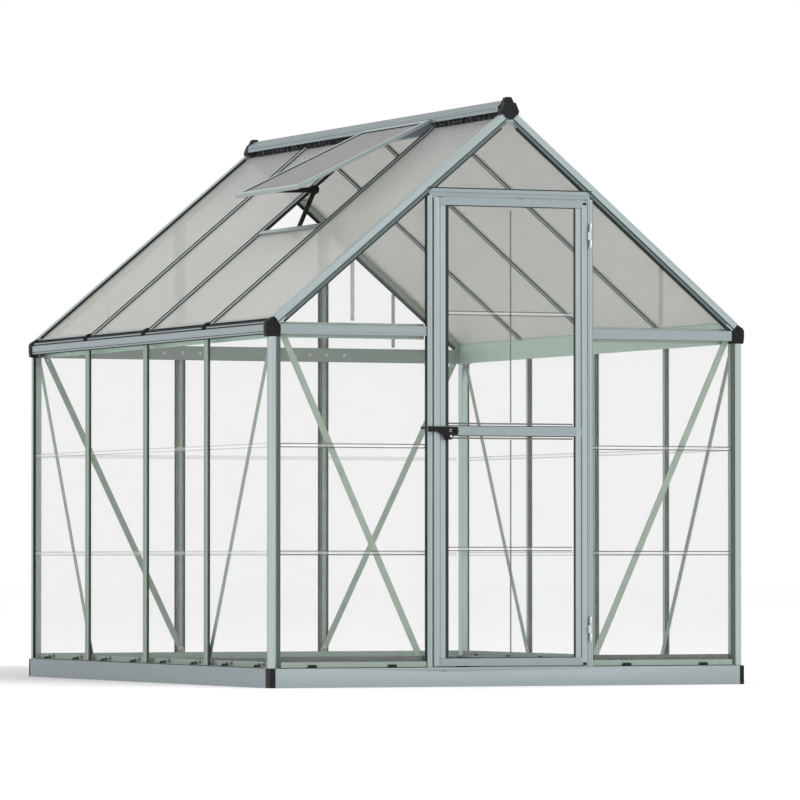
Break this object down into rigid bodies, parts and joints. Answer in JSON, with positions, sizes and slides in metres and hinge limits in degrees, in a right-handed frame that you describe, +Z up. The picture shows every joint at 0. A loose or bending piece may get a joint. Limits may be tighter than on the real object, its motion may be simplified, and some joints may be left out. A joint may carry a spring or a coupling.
{
  "type": "polycarbonate greenhouse",
  "caption": "Walk-in greenhouse with clear polycarbonate walls, a twin-wall pitched roof, a hinged gable door and a propped roof vent on a steel base.",
  "frame": {"origin": "on the ground, under the middle of the house", "axes": "+Z up, +Y from the door's gable to the rear gable, +X to the right of a person who faces the door"},
  "size_m": [1.868, 2.481, 2.097],
  "materials": {
    "silver_aluminium": "anodised extrusion, satin silver",
    "galvanised_base": "galvanised steel sheet with a satin silver coat",
    "clear_polycarbonate": "clear sheet, glossy",
    "twin_wall_polycarbonate": "twin-wall translucent sheet",
    "black_plastic": "moulded, fine grain",
    "hinge_steel": "zinc plated"
  },
  "bodies": {
    "house": {"base_front": "galvanised_base", "base_rear": "galvanised_base", "base_left": "galvanised_base", "base_right": "galvanised_base", "base_corners": "black_plastic", "base_clips": "black_plastic", "corner_posts": "silver_aluminium", "wall_bars_left": "silver_aluminium", "wall_bars_right": "silver_aluminium", "wall_bars_rear": "silver_aluminium", "sill_rails": "silver_aluminium", "braces_left": "silver_aluminium", "braces_right": "silver_aluminium", "braces_front": "silver_aluminium", "braces_rear": "silver_aluminium", "door_posts": "silver_aluminium", "door_header": "silver_aluminium", "eave_beams_front": "silver_aluminium", "eave_beam_rear": "silver_aluminium", "gutter_left": "silver_aluminium", "gutter_right": "silver_aluminium", "eave_caps": "black_plastic", "rafters_front": "silver_aluminium", "rafters_rear": "silver_aluminium", "roof_bars_left": "silver_aluminium", "roof_bars_right": "silver_aluminium", "roof_bar_feet": "black_plastic", "ridge_beam": "silver_aluminium", "ridge_caps": "black_plastic", "panels_left": "clear_polycarbonate", "panels_right": "clear_polycarbonate", "panels_front": "clear_polycarbonate", "panels_rear": "clear_polycarbonate", "gable_panels": "clear_polycarbonate", "door_gable_panel": "clear_polycarbonate", "roof_panels_left": "twin_wall_polycarbonate", "roof_panels_right": "twin_wall_polycarbonate", "vent_sill": "silver_aluminium", "vent_sash": "silver_aluminium", "vent_panel": "twin_wall_polycarbonate", "vent_stay": "black_plastic", "jamb_hinges": "hinge_steel", "latch_keeper": "black_plastic"},
    "door": {"door_stiles": "silver_aluminium", "door_rails": "silver_aluminium", "door_panels": "clear_polycarbonate", "leaf_hinges": "hinge_steel", "latch_plate": "black_plastic"},
    "lever": {"latch_lever": "black_plastic"}
  },
  "joints": [
    {"name": "door_hinge", "type": "hinge", "parent": "house", "child": "door", "pos_m": [0.3085, -1.2405, 0.9035], "axis": [0, 0, 1], "range_deg": [0, 165]},
    {"name": "latch_turn", "type": "hinge", "parent": "door", "child": "lever", "pos_m": [-0.241, -1.243, 0.906], "axis": [0, 1, 0], "range_deg": [0, 60]}
  ]
}
